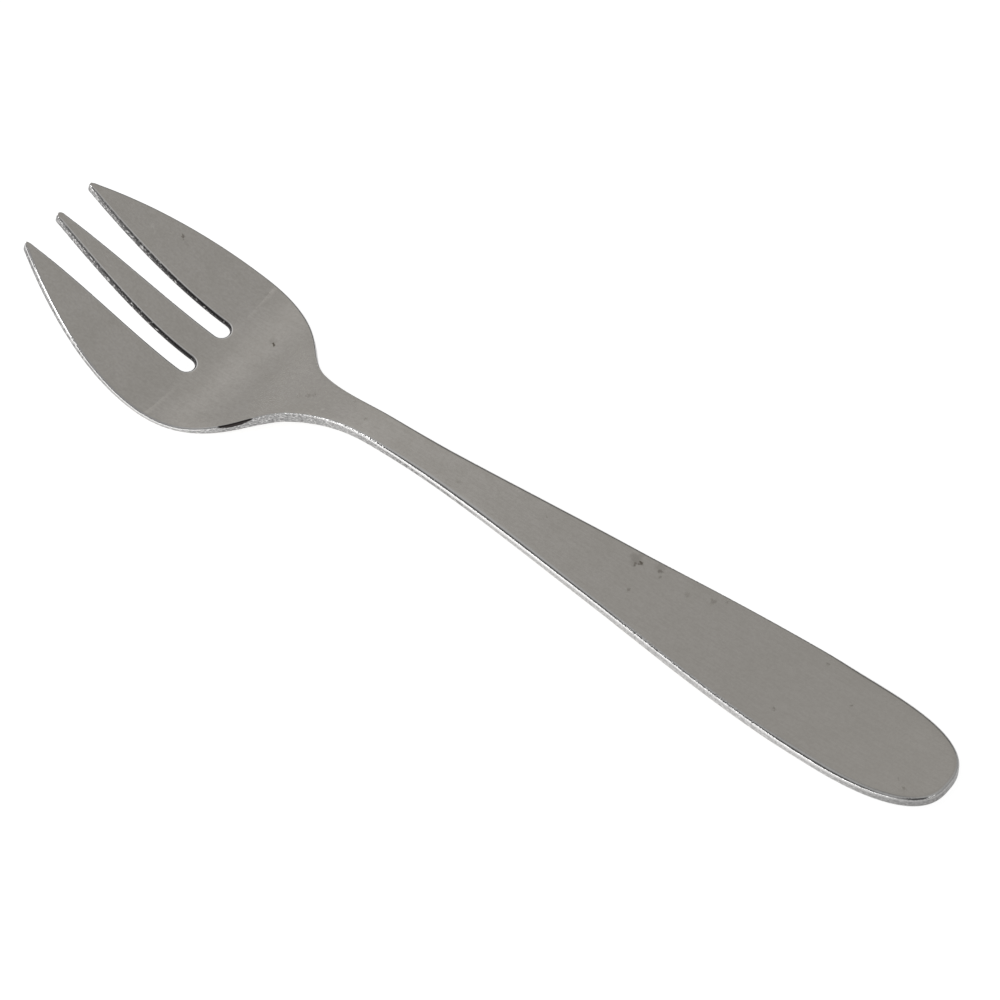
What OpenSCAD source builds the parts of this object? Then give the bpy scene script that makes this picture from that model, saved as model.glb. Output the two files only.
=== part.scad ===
// Oyster fork, pressed from one piece of stainless sheet.
// The origin is on the surface that the fork lies on, under the middle of its length.
// The tine points face -X, the end of the handle faces +X and the dished face is up.

/* [Overall] */
// Length from the tine points to the end of the handle
length = 143; // [125:1:165]
// Radius of the upper edge round the tines and the head
head_edge_r = 0.4; // [0.2:0.05:0.4]
// Radius of the upper edge round the handle
handle_edge_r = 0.7; // [0.3:0.05:0.75]
// Radius of the lower edge as a share of the upper one
under_share = 0.6; // [0.4:0.05:1]
// Depth of the two flats worn where the fork rests
rest_cut = 0.05; // [0.02:0.01:0.1]

/* [Tines] */
// Depth of the two slots from the points
slot_l = 25.6; // [20:0.1:28]
// Width of a slot at its round root
slot_root_w = 2.5; // [1.6:0.1:3.4]
// Width of a slot at its mouth
slot_mouth_w = 5.7; // [4.8:0.1:6.6]
// Width of the middle tine at its point
mid_tip_w = 1.1; // [0.8:0.1:1.8]
// Width of the middle tine at the slot roots
mid_root_w = 4.9; // [4:0.1:6.4]
// Width of an outer tine at its point
outer_tip_w = 0.7; // [0.4:0.05:1.2]
// Length of the rounding at each point
tip_r = 0.5; // [0.45:0.05:1]
// Height of the points over the resting surface
tip_rise = 10.55; // [6:0.05:14]
// Thickness of the tines
tine_t = 1.35; // [1:0.05:1.6]

/* [Head] */
// Width across the shoulders
head_w = 28.35; // [24:0.1:34]
// Place of the shoulders, from the points
shoulder_at = 23.6; // [20:0.1:27]
// Place of the belly that the head rests on, from the points
belly_at = 29.5; // [26:0.5:33]
// Thickness of the head at the belly
belly_t = 0.9; // [0.85:0.05:1.6]
// Rise of the dished face from its middle to the shoulders
dish = 0.55; // [0.1:0.05:1.2]

/* [Neck] */
// Width of the neck
neck_w = 4.9; // [3.6:0.05:7]
// Place of the narrowest section, from the points
neck_at = 53.5; // [50:0.5:60]
// Place of the steepest part of the flank between head and neck, from the points
flank_at = 37.3; // [35:0.1:39]
// Width at that place
flank_w = 15.95; // [12:0.2:18]
// Place where the tight fillet under the flank ends, from the points
fillet_at = 42.2; // [41:0.1:45]
// Width at that place
fillet_w = 8.1; // [6:0.1:9.5]
// Height of the underside at the crest of the neck
crest_h = 4.7; // [2:0.05:7]
// Place of the crest, from the points
crest_at = 54.3; // [50:0.1:64]
// Thickness of the neck
neck_t = 1.6; // [1.3:0.05:2.6]

/* [Handle] */
// Greatest width of the handle
handle_w = 15.15; // [10:0.05:20]
// Length of the round end, from its greatest width
end_l = 17.2; // [12:0.1:24]
// Width half way between neck and greatest width
taper_w = 9.9; // [7:0.1:12]
// Length of the underside that lies flat at the end
rest_l = 7; // [6:0.5:20]
// Thickness in the middle of the handle
handle_t = 1.7; // [1.5:0.05:3]
// Thickness at the end
end_t = 1.7; // [1.5:0.05:2.6]

/* [Hidden] */
steel = "#8e8b86";

// Slopes of the outline, in width of one side per length
point_slope = 0.57;
slot_slope = -0.155;
mid_slope = 0.15;
flank_slope = -1.1;
fillet_slope = -0.395;
taper_slope = 0.085;
// Slope of the tines at their points
tine_slope = -0.455;
// Roundness of the handle's end: 2 is an ellipse, more is squarer
end_power = 2.6;

// Rows along the fork and steps round an edge
tip_rows = 5;
slot_rows = 12;
root_rows = 6;
head_rows = 18;
handle_rows = 22;
end_rows = 12;
edge_steps = 3;

// Places along the fork
root_r = slot_root_w / 2;
root_at = slot_l - root_r;
widest_at = length - end_l;
taper_at = (neck_at + widest_at) / 2;
rest_at = length - rest_l;
// Half the length over which the slope of the underside is taken
slope_step = 0.3;
// The rolled edge is narrower at the points, which curve more tightly than it does
tip_curve_r = (outer_tip_w / 2)^2 / tip_r;
tip_inset_share = min(1, 0.7 * tip_curve_r / head_edge_r);
tip_blend_l = 2 * tip_r;

// Cubic between two stations, each given as [place, value, slope]
function cubic(a, b, x) =
    let (span = b[0] - a[0], u = (x - a[0]) / span)
    a[1] * (2 * u^3 - 3 * u^2 + 1) + b[1] * (3 * u^2 - 2 * u^3)
    + span * (a[2] * (u^3 - 2 * u^2 + u) + b[2] * (u^3 - u^2));

// Smooth curve through a list of stations
function along(stations, x, i = 0) =
    i < len(stations) - 2 && x > stations[i + 1][0]
    ? along(stations, x, i + 1)
    : cubic(stations[i], stations[i + 1], x);

// Half widths of the blank: its outline, the slots' outer edges and the middle tine
mid_stations = [[0, mid_tip_w / 2, mid_slope], [root_at, mid_root_w / 2, 0]];
slot_stations = [
    [0, mid_tip_w / 2 + slot_mouth_w, slot_slope],
    [root_at, mid_root_w / 2 + slot_root_w, 0]
];
side_stations = [
    [0, mid_tip_w / 2 + slot_mouth_w + outer_tip_w, point_slope],
    [shoulder_at, head_w / 2, 0],
    [flank_at, flank_w / 2, flank_slope],
    [fillet_at, fillet_w / 2, fillet_slope],
    [neck_at, neck_w / 2, 0],
    [taper_at, taper_w / 2, taper_slope],
    [widest_at, handle_w / 2, 0]
];
// Underside of the fork seen from the side, and its thickness
under_stations = [[0, tip_rise, tine_slope], [belly_at, 0, 0], [crest_at, crest_h, 0], [rest_at, 0, 0]];
thick_stations = [
    [0, tine_t, 0], [belly_at, belly_t, 0], [fillet_at, neck_t, 0], [crest_at, neck_t, 0],
    [taper_at, handle_t, 0], [length, end_t, 0]
];
// Radius of the upper edge, which grows from the belly to the handle
radius_stations = [
    [0, head_edge_r, 0], [belly_at, head_edge_r, 0],
    [taper_at, handle_edge_r, 0], [length, handle_edge_r, 0]
];

// A point is rounded as a half circle is, and so is a slot's root
function point_share(x) = x < tip_r ? sqrt(1 - (1 - x / tip_r)^2) : 1;
function root_share(x) = x > root_at ? sqrt(max(0, 1 - ((x - root_at) / root_r)^2)) : 1;
function end_share(x) = (1 - ((x - widest_at) / end_l)^end_power)^(1 / end_power);

function side_line(x) = x > widest_at ? handle_w / 2 * end_share(x) : along(side_stations, x);
function slot_mid(x) = (along(slot_stations, x) + along(mid_stations, x)) / 2;
function slot_half(x) = (along(slot_stations, x) - along(mid_stations, x)) / 2 * root_share(x);
function tine_mid(x) = (side_line(x) + along(slot_stations, x)) / 2;
function tine_half(x) = (side_line(x) - along(slot_stations, x)) / 2 * point_share(x);

// The three edges of one side: outline, outer edge of the slot, edge of the middle tine
function outer_edge(x) = x < tip_r ? tine_mid(x) + tine_half(x) : side_line(x);
function inner_edge(x) = x < tip_r ? tine_mid(x) - tine_half(x) : slot_mid(x) + slot_half(x);
function mid_edge(x) = x < tip_r ? along(mid_stations, x) * point_share(x) : slot_mid(x) - slot_half(x);

// Rows from the points to the end of the handle
rows = [
    for (i = [0 : tip_rows - 1]) tip_r * (1 - cos(90 * i / tip_rows)),
    for (i = [0 : slot_rows - 1]) tip_r + (root_at - tip_r) * i / slot_rows,
    for (i = [0 : root_rows]) root_at + root_r * sin(90 * i / root_rows),
    for (i = [1 : head_rows]) slot_l + (neck_at - slot_l) * i / head_rows,
    for (i = [1 : handle_rows]) neck_at + (widest_at - neck_at) * i / handle_rows,
    for (i = [1 : end_rows]) widest_at + end_l * pow(sin(90 * i / end_rows), 2 / end_power)
];
root = tip_rows + slot_rows + root_rows;
last = len(rows) - 1;

// The outline as one closed line, from the handle's end round the far side first
outline = [
    for (i = [last : -1 : 0]) [rows[i], i == last ? 0 : outer_edge(rows[i])],
    for (i = [1 : root]) [rows[i], inner_edge(rows[i])],
    for (i = [root - 1 : -1 : 1]) [rows[i], mid_edge(rows[i])],
    for (i = [0 : root]) [rows[i], i == 0 ? 0 : -mid_edge(rows[i])],
    for (i = [root - 1 : -1 : 1]) [rows[i], -inner_edge(rows[i])],
    for (i = [0 : last - 1]) [rows[i], -outer_edge(rows[i])]
];
count = len(outline);
// Places in the outline of a row's ends, on the far side and on the near side
function far_outer(i) = last - i;
function far_inner(i) = last + i;
function far_mid(i) = last + 2 * root - i;
function near_mid(i) = last + 2 * root + i;
function near_inner(i) = last + 4 * root - i;
function near_outer(i) = (last + 4 * root + i) % count;

// Direction into the sheet at each place of the outline
function inward(i) =
    let (a = outline[(i + count - 1) % count], b = outline[(i + 1) % count], d = b - a)
    [-d[1], d[0]] / norm(d);
inwards = [for (i = [0 : count - 1]) inward(i)];
function inset_share(x) = min(1, tip_inset_share + (1 - tip_inset_share) * x / tip_blend_l);
function radius(x, side) = along(radius_stations, x) * (side > 0 ? 1 : under_share);
function inset_point(i, turn, side) =
    outline[i] + inwards[i] * radius(outline[i][0], side) * (1 - sin(turn)) * inset_share(outline[i][0]);

// Levels of the rim from the upper face to the underside: [how far the edge has turned, side]
levels = [
    for (i = [0 : edge_steps]) [90 * i / edge_steps, 1],
    for (i = [edge_steps : -1 : 0]) [90 * i / edge_steps, -1]
];
function rim_point(i, turn, side) =
    pressed(inset_point(i, turn, side), side, radius(outline[i][0], side) * (1 - cos(turn)));

// Rise of the dished head at a place, which fades out towards the neck
function fade(x) = let (u = min(1, max(0, (crest_at - x) / (crest_at - shoulder_at)))) u^2 * (3 - 2 * u);
function dish_rise(p) = dish * (2 * p[1] / head_w)^2 * fade(p[0]);
function under(x) = x > rest_at ? 0 : along(under_stations, x);
function pitch(x) = atan((under(x + slope_step) - under(x - slope_step)) / (2 * slope_step));

// A place of the flat blank, pressed to shape: side is 1 on the upper face and -1 on the underside
function pressed(p, side, drop = 0) =
    let (half = along(thick_stations, p[0]) / 2, h = side * (half - drop), a = pitch(p[0]))
    [
        p[0] - h * sin(a) - length / 2,
        p[1],
        under(p[0]) + half + h * cos(a) + dish_rise(p) - rest_cut
    ];

// Places between the rims: half way across each tine, and five across the body
rim = [for (i = [0 : count - 1]) inset_point(i, 0, 1)];
function between(a, b, share) = a * (1 - share) + b * share;
line_share = (1 - slot_mid(slot_l) / rim[far_outer(root)][1]) / 2;
body_shares = [line_share / 2, line_share, 1 / 2, 1 - line_share, 1 - line_share / 2];
inner = [
    for (i = [1 : root]) each [
        between(rim[far_outer(i)], rim[far_inner(i)], 1 / 2),
        between(rim[far_mid(i)], rim[near_mid(i)], 1 / 2),
        between(rim[near_inner(i)], rim[near_outer(i)], 1 / 2)
    ],
    for (i = [root + 1 : last - 1], share = body_shares)
        between(rim[far_outer(i)], rim[near_outer(i)], share)
];
points = [
    for (l = levels, i = [0 : count - 1]) rim_point(i, l[0], l[1]),
    for (side = [1, -1], p = inner) pressed(p, side)
];

// Numbers of the points: on the rim of a face, and between its rims
function on_rim(i, side) = (side > 0 ? 0 : len(levels) - 1) * count + i;
function inside(row, i, side) =
    len(levels) * count + (side > 0 ? 0 : len(inner))
    + (row > root ? 3 * root + 5 * (row - root - 1) : 3 * (row - 1)) + i;

// One row of each face across a tine, numbered from the far side, and one across the body
function tine_row(row, a, b, i, side) =
    row == 0 ? [on_rim(a, side)] : [on_rim(a, side), inside(row, i, side), on_rim(b, side)];
function body_row(row, side) =
    row == last ? [on_rim(0, side)]
    : row > root ? [
        on_rim(far_outer(row), side),
        for (i = [0 : 4]) inside(row, i, side),
        on_rim(near_outer(row), side)
    ]
    : [
        on_rim(far_outer(row), side), inside(row, 0, side),
        on_rim(far_mid(row), side), inside(row, 1, side),
        on_rim(near_mid(row), side), inside(row, 2, side),
        on_rim(near_outer(row), side)
    ];

// Triangles between two rows, where either may be a single point
function strip(a, b) =
    len(a) == 1 ? [for (i = [0 : len(b) - 2]) [a[0], b[i], b[i + 1]]]
    : len(b) == 1 ? [for (i = [0 : len(a) - 2]) [a[i], b[0], a[i + 1]]]
    : [for (i = [0 : len(a) - 2]) each [[a[i], b[i + 1], a[i + 1]], [a[i], b[i], b[i + 1]]]];
function turned(face, side) = side > 0 ? face : [face[0], face[2], face[1]];
function face_triangles(side) = [
    for (i = [0 : root - 1]) each concat(
        strip(tine_row(i, far_outer(i), far_inner(i), 0, side),
              tine_row(i + 1, far_outer(i + 1), far_inner(i + 1), 0, side)),
        strip(tine_row(i, far_mid(i), near_mid(i), 1, side),
              tine_row(i + 1, far_mid(i + 1), near_mid(i + 1), 1, side)),
        strip(tine_row(i, near_inner(i), near_outer(i), 2, side),
              tine_row(i + 1, near_inner(i + 1), near_outer(i + 1), 2, side))
    ),
    for (i = [root : last - 1]) each strip(body_row(i, side), body_row(i + 1, side))
];
rim_triangles = [
    for (k = [0 : len(levels) - 2], i = [0 : count - 1])
        let (j = (i + 1) % count, a = k * count, b = a + count)
        each [[a + i, b + j, b + i], [a + i, a + j, b + j]]
];
triangles = concat(
    [for (side = [1, -1]) each [for (f = face_triangles(side)) turned(f, side)]],
    rim_triangles
);

// The pressed sheet, with the flats worn on its underside
module fork() {
    color(steel)
        difference() {
            polyhedron(points, triangles);
            translate([-length, -head_w, -tip_rise])
                cube([2 * length, 2 * head_w, tip_rise]);
        }
}

fork();
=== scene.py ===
# %% [markdown]
# An oyster fork, cut and pressed from one piece of stainless sheet.
#
# The script follows the steps of the real fork. A flat blank is cut, its edges are rolled round, a press
# bends it to shape, and it is polished. Then the fork is laid on white paper in soft studio light.
#
# All sizes are in metres. The tine points face -X, the end of the handle faces +X, the dished face is up,
# and the floor is at height zero.

# %% Load the frame
import math

import bpy
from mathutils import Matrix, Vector
from mathutils.bvhtree import BVHTree


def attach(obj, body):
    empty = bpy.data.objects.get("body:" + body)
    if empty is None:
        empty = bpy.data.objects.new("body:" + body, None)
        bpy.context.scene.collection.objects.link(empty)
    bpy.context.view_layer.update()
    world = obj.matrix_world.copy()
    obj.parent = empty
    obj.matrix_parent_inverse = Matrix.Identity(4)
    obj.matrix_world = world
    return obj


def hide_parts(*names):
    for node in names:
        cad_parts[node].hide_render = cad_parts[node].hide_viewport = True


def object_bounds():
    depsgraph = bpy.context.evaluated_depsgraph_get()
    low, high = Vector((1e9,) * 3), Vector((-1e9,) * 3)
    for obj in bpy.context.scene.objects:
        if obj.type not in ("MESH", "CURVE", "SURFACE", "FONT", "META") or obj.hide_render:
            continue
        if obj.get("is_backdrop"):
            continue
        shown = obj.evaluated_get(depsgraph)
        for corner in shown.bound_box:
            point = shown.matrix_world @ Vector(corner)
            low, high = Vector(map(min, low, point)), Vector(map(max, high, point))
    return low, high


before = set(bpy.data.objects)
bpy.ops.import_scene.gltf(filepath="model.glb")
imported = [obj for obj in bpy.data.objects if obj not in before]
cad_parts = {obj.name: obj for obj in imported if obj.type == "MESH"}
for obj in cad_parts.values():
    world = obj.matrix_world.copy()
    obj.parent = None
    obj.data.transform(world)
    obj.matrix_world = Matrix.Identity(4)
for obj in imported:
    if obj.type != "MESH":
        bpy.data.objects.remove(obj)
cad_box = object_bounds()
cad_length = cad_box[1].x - cad_box[0].x
print(f"The CAD fork is {cad_length * 1000:.1f} mm long")

# %% [markdown]
# One small function adds every node in this script, for geometry and for materials alike. It takes the kind
# of node, what goes into its sockets (a value or another node's output), and its settings.

# %% A helper that adds a node
def add_node(tree, kind, inputs=None, **settings):
    """Adds a node, applies its settings, then fills its sockets with values or links."""
    node = tree.nodes.new(kind)
    for name, value in settings.items():
        setattr(node, name, value)
    for socket, value in (inputs or {}).items():
        if isinstance(value, bpy.types.NodeSocket):
            tree.links.new(value, node.inputs[socket])
        else:
            node.inputs[socket].default_value = value
    return node


# %% [markdown]
# The blank is the flat shape that a die cuts from the sheet: pointed tines, two slots with round roots, broad
# shoulders, a narrow neck and a long handle that ends in a squared-off half ellipse.
#
# Its outline could be drawn with curve objects. It is worked out by functions here, because then each row of
# points across the fork meets the outline exactly, and the mesh gets clean rows of four-sided faces.

# %% Sizes of the blank
MM = 0.001
length = 143 * MM
slot_length = 25.6 * MM
slot_root_width = 2.5 * MM
slot_mouth_width = 5.7 * MM
middle_point_width = 1.1 * MM
middle_root_width = 4.9 * MM
outer_point_width = 0.7 * MM
point_length = 0.5 * MM
head_width = 28.34 * MM
shoulder_at = 23.6 * MM
belly_at = 29.5 * MM
flank_at = 37.3 * MM
flank_width = 15.95 * MM
fillet_at = 42.2 * MM
fillet_width = 8.1 * MM
neck_at = 53.5 * MM
neck_width = 4.9 * MM
taper_width = 9.9 * MM
handle_width = 15.15 * MM
round_end_length = 17.2 * MM
sheet_thickness = 1.85 * MM
head_edge_radius = 0.4 * MM
under_edge_share = 0.6

# Values that follow from the sizes, and how squared-off the round end is: 2 would be a plain ellipse
root_radius = slot_root_width / 2
root_at = slot_length - root_radius
widest_at = length - round_end_length
taper_at = (neck_at + widest_at) / 2
end_power = 2.6

# Each station is a place along the fork, the half width there and the slope of the line
middle_stations = [(0, middle_point_width / 2, 0.15), (root_at, middle_root_width / 2, 0)]
slot_stations = [
    (0, middle_point_width / 2 + slot_mouth_width, -0.155),
    (root_at, middle_root_width / 2 + slot_root_width, 0),
]
side_stations = [
    (0, middle_point_width / 2 + slot_mouth_width + outer_point_width, 0.57),
    (shoulder_at, head_width / 2, 0),
    (flank_at, flank_width / 2, -1.1),
    (fillet_at, fillet_width / 2, -0.395),
    (neck_at, neck_width / 2, 0),
    (taper_at, taper_width / 2, 0.085),
    (widest_at, handle_width / 2, 0),
]
# How round the belt left the upper edge: a place along the fork, the radius there and the line's slope
radius_stations = [
    (0, head_edge_radius, 0),
    (belly_at, head_edge_radius, 0),
    (fillet_at, 0.16 * MM, 0),
    (neck_at, 0.48 * MM, 0),
    (65 * MM, 0.76 * MM, 0),
    (80 * MM, 0.76 * MM, 0),
    (92 * MM, 0.66 * MM, 0),
    (106 * MM, 0.5 * MM, 0),
    (119 * MM, 0.58 * MM, 0),
    (widest_at, 0.78 * MM, 0),
    (length, 0.55 * MM, 0),
]
print(f"The blank is {length / MM:.1f} by {head_width / MM:.2f} mm, from {sheet_thickness / MM:.2f} mm sheet")


# %% Lines of the blank
def smooth_line(stations, x):
    """The value at x on the smooth line through the stations."""
    for start, end in zip(stations, stations[1:]):
        if x <= end[0] or end is stations[-1]:
            span = end[0] - start[0]
            u = (x - start[0]) / span
            rise = (end[1] - start[1]) * (3 * u**2 - 2 * u**3)
            bend = start[2] * (u**3 - 2 * u**2 + u) + end[2] * (u**3 - u**2)
            return start[1] + rise + span * bend


def side_line(x):
    """The half width of the outline, a squared-off half ellipse past the widest place."""
    if x <= widest_at:
        return smooth_line(side_stations, x)
    share = min(1, (x - widest_at) / round_end_length)
    return handle_width / 2 * (1 - share**end_power) ** (1 / end_power)


def point_share(x):
    """How much of its width a tine has at x, where its point is rounded."""
    return math.sqrt(1 - (1 - min(1, x / point_length)) ** 2)


def root_share(x):
    """How much of its width a slot has at x, where its root is a half circle."""
    return math.sqrt(max(0, 1 - (max(0, x - root_at) / root_radius) ** 2))


def tine_edges(x):
    """The three edges on one side at x: the outline, the slot's outer edge and the middle tine's edge."""
    outer, slot, middle = side_line(x), smooth_line(slot_stations, x), smooth_line(middle_stations, x)
    if x < point_length:
        centre, half = (outer + slot) / 2, (outer - slot) / 2 * point_share(x)
        return centre + half, centre - half, middle * point_share(x)
    centre, half = (slot + middle) / 2, (slot - middle) / 2 * root_share(x)
    return outer, centre + half, centre - half


print(f"At the shoulder the blank is {2 * side_line(shoulder_at) / MM:.2f} mm wide")

# %% Rows of the blank
point_rows = 8
slot_rows = 80
root_rows = 14
head_rows = 90
handle_rows = 220
end_rows = 50

# The first row behind the slots stays clear of the rolled edge round their roots
head_start = slot_length + 2 * head_edge_radius
rows = [point_length * (1 - math.cos(math.pi / 2 * i / point_rows)) for i in range(point_rows)]
rows += [point_length + (root_at - point_length) * i / slot_rows for i in range(slot_rows)]
rows += [root_at + root_radius * math.sin(math.pi / 2 * i / root_rows) for i in range(root_rows + 1)]
rows += [head_start + (neck_at - head_start) * i / head_rows for i in range(head_rows + 1)]
rows += [neck_at + (widest_at - neck_at) * i / handle_rows for i in range(1, handle_rows + 1)]
rows += [
    widest_at + round_end_length * math.sin(math.pi / 2 * i / end_rows) ** (2 / end_power)
    for i in range(1, end_rows + 1)
]
root_row = point_rows + slot_rows + root_rows
last_row = len(rows) - 1
edges = [tine_edges(x) for x in rows[: root_row + 1]]

# The outline is one closed line, from the handle's end along the far side, round each tine and back
outline = [(rows[i], side_line(rows[i]) if i > root_row else edges[i][0]) for i in range(last_row, -1, -1)]
outline[0] = (rows[last_row], 0)
outline += [(rows[i], edges[i][1]) for i in range(1, root_row + 1)]
outline += [(rows[i], edges[i][2]) for i in range(root_row - 1, -1, -1)]
outline[-1] = (rows[0], 0)
outline += [(x, -y) for x, y in reversed(outline[1:-1])]
count = len(outline)
print(f"The blank has {len(rows)} rows and {count} points round its edge")


# %% [markdown]
# Next the rolled edge. Rings of points run round the outline, from the upper face over a quarter circle, down
# the wall and round again to the underside. How round the edge is changes along the fork, as a belt left
# it. A Bevel modifier could round an edge too, but on tine points finer than the radius it would fold over.
# Here the rings draw in less at the points, so that nothing crosses.

# %% Rings round the edge
edge_steps = 6
wall_steps = 3
tip_curve_radius = (outer_point_width / 2) ** 2 / point_length
tip_inset_limit = 0.7
tip_inset_share = min(1, tip_inset_limit * tip_curve_radius / head_edge_radius)
tip_blend_length = 2 * point_length


def ring_point(i, turn, side):
    """The point of a ring beside the outline's point i, where the edge has turned by an angle."""
    (ax, ay), (bx, by), (x, y) = outline[i - 1], outline[(i + 1) % count], outline[i]
    run = math.hypot(bx - ax, by - ay)
    radius = smooth_line(radius_stations, x) * (1 if side > 0 else under_edge_share)
    share = min(1, tip_inset_share + (1 - tip_inset_share) * x / tip_blend_length)
    inset = radius * (1 - math.sin(turn)) * share
    height = side * (sheet_thickness / 2 - radius * (1 - math.cos(turn)))
    return x - (by - ay) / run * inset, y + (bx - ax) / run * inset, height


# Each ring is how far the edge has turned, and its side: 1 is above the sheet's middle and -1 below
turns = [math.pi / 2 * i / edge_steps for i in range(edge_steps + 1)]
rings = [(turn, 1) for turn in turns] + [(math.pi / 2, 1 - 2 * i / wall_steps) for i in range(1, wall_steps)]
rings += [(turn, -1) for turn in reversed(turns)]
print(f"{len(rings)} rings go round the edge")


# %% [markdown]
# Both faces of the blank are filled with rows of points that cross it from rim to rim, as many on each tine
# as on the part of the body behind it. The rows are joined with four-sided faces, and with triangles where a
# row ends in a single point.
#
# Three attributes go with the points. "side" is 1 on the upper face, -1 on the underside and between the two
# down the wall, and tells the press which way each point moves. "edge" grows from 0 on the faces to 1 on the
# wall, and is for the unevenness of the edge and the marks on it. The third is for the walls of the slots,
# which a polishing wheel can't reach: how rough the punch left them, and how dark a painted shade they get.
# It is 1 at a root, and less towards the points.

# %% Mesh of the blank
inner_points = 3
polished_tip_points = 3
mouth_roughness_and_shade = 0.6
vertices = []
marks = {"side": [], "edge": [], "punched_and_shaded": []}


def add_vertex(x, y, height, side, edge=0, punched_and_shaded=0):
    """Adds one vertex with its three marks, and gives its number."""
    vertices.append((x, y, height))
    for name, mark in zip(marks, (side, edge, punched_and_shaded)):
        marks[name].append(float(mark))
    return len(vertices) - 1


def punched_and_shaded_share(i):
    """Roughness and painted shade of the wall at the outline's point i: 1 at a slot's root, 0 outside the
    slots.
    """
    place = min(i, count - i)
    if not last_row + polished_tip_points < place < last_row + 2 * root_row - polished_tip_points:
        return 0
    return min(1, mouth_roughness_and_shade + (1 - mouth_roughness_and_shade) * outline[i][0] / root_at)


ring_vertices = [
    [
        add_vertex(*ring_point(i, turn, side), side, math.sin(turn), punched_and_shaded_share(i))
        for i in range(count)
    ]
    for turn, side in rings
]

# Places in the outline of the ends of row i: outline, slot's outer edge and middle tine's edge
far_places = [lambda i: last_row - i, lambda i: last_row + i, lambda i: last_row + 2 * root_row - i]
near_places = [lambda i, place=place: -place(i) % count for place in far_places]


def row_between(start, end, shares, height):
    """The vertices of one row between two on the rim, with new ones at shares of the way across."""
    if start == end:
        return [start]
    (ax, ay, _), (bx, by, _) = vertices[start], vertices[end]
    side = math.copysign(1, height)
    between = [add_vertex(ax + (bx - ax) * s, ay + (by - ay) * s, height, side) for s in shares]
    return [start, *between, end]


def join_rows(a, b, upper):
    """The faces between two rows, turned to face up or down."""
    if len(a) == 1:
        made = [(a[0], b[k + 1], b[k]) for k in range(len(b) - 1)]
    elif len(b) == 1:
        made = [(a[k + 1], b[0], a[k]) for k in range(len(a) - 1)]
    else:
        made = [(a[k + 1], b[k + 1], b[k], a[k]) for k in range(len(a) - 1)]
    return made if upper else [face[::-1] for face in made]


# The points of a tine's row are evenly spread, and those of the body's rows run on in line with them
tine_steps = inner_points + 1
body_steps = 3 * tine_steps
tine_shares = [s / tine_steps for s in range(1, tine_steps)]
slot_line = (edges[root_row][1] + edges[root_row][2]) / 2
slot_line_share = (1 - slot_line / vertices[ring_vertices[0][far_places[0](root_row)]][1]) / 2
body_shares = [
    slot_line_share * s / tine_steps if s <= tine_steps
    else 1 - slot_line_share * (body_steps - s) / tine_steps if s >= body_steps - tine_steps
    else slot_line_share + (1 - 2 * slot_line_share) * (s / tine_steps - 1)
    for s in range(1, body_steps)
]

faces = []
for ring, upper in ((ring_vertices[0], True), (ring_vertices[-1], False)):
    height = sheet_thickness / 2 if upper else -sheet_thickness / 2
    tines = [
        (far_places[0], far_places[1]),
        (far_places[2], near_places[2]),
        (near_places[1], near_places[0]),
    ]
    tine_grid = [
        [row_between(ring[start(i)], ring[end(i)], tine_shares, height) for i in range(root_row + 1)]
        for start, end in tines
    ]
    for grid in tine_grid:
        for a, b in zip(grid, grid[1:]):
            faces += join_rows(a, b, upper)
    far_tine, middle_tine, near_tine = (grid[-1] for grid in tine_grid)
    previous = far_tine + middle_tine[1:] + near_tine[1:]
    for i in range(root_row + 1, last_row + 1):
        current = row_between(ring[far_places[0](i)], ring[near_places[0](i)], body_shares, height)
        faces += join_rows(previous, current, upper)
        previous = current
for a, b in zip(ring_vertices, ring_vertices[1:]):
    faces += [(b[i - 1], b[i], a[i], a[i - 1]) for i in range(count)]

blank_mesh = bpy.data.meshes.new("blank")
blank_mesh.from_pydata(vertices, [], faces)
for name, values in marks.items():
    blank_mesh.attributes.new(name, "FLOAT", "POINT").data.foreach_set("value", values)
fork = bpy.data.objects.new("oyster_fork", blank_mesh)
bpy.context.scene.collection.objects.link(fork)
print(f"The flat blank has {len(vertices)} points and {len(faces)} faces")

# %% [markdown]
# The press bends the blank. Geometry Nodes do that here, because one rule moves every point: rollers have
# thinned the sheet, more in some places along the fork than in others, the press sets the height of its
# underside, the head is dished across, and the sheet stands square to the bent line everywhere.
#
# The bent line is a node group of its own, used three times: once for the height of a point, and once on
# either side of it for the slope there. A Map Range node set to Smooth Step gives each stretch of it.

# %% Group for the bent line
def new_group(name, inputs, output):
    """A node group with float inputs, one output, and its two end nodes."""
    group = bpy.data.node_groups.new(name, "GeometryNodeTree")
    for label in inputs:
        group.interface.new_socket(label, in_out="INPUT", socket_type="NodeSocketFloat")
    group.interface.new_socket(output, in_out="OUTPUT", socket_type="NodeSocketFloat")
    return group, group.nodes.new("NodeGroupInput").outputs, group.nodes.new("NodeGroupOutput")


line_inputs = ["Tip rise", "Tine slope", "Belly place", "Crest place", "Crest height", "Rest place"]
bent_line, given, result = new_group("Bent line", ["Place", *line_inputs], "Height")
stretch = {"Value": given["Place"]}
tine_fall = add_node(bent_line, "ShaderNodeMapRange", interpolation_type="SMOOTHSTEP", inputs={
    **stretch, "From Max": given["Belly place"], "To Min": given["Tip rise"], "To Max": 0.0})
neck_climb = add_node(bent_line, "ShaderNodeMapRange", interpolation_type="SMOOTHSTEP", inputs={
    **stretch, "From Min": given["Belly place"], "From Max": given["Crest place"],
    "To Min": tine_fall.outputs["Result"], "To Max": given["Crest height"]})
handle_fall = add_node(bent_line, "ShaderNodeMapRange", interpolation_type="SMOOTHSTEP", inputs={
    **stretch, "From Min": given["Crest place"], "From Max": given["Rest place"],
    "To Min": neck_climb.outputs["Result"], "To Max": 0.0})

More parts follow.
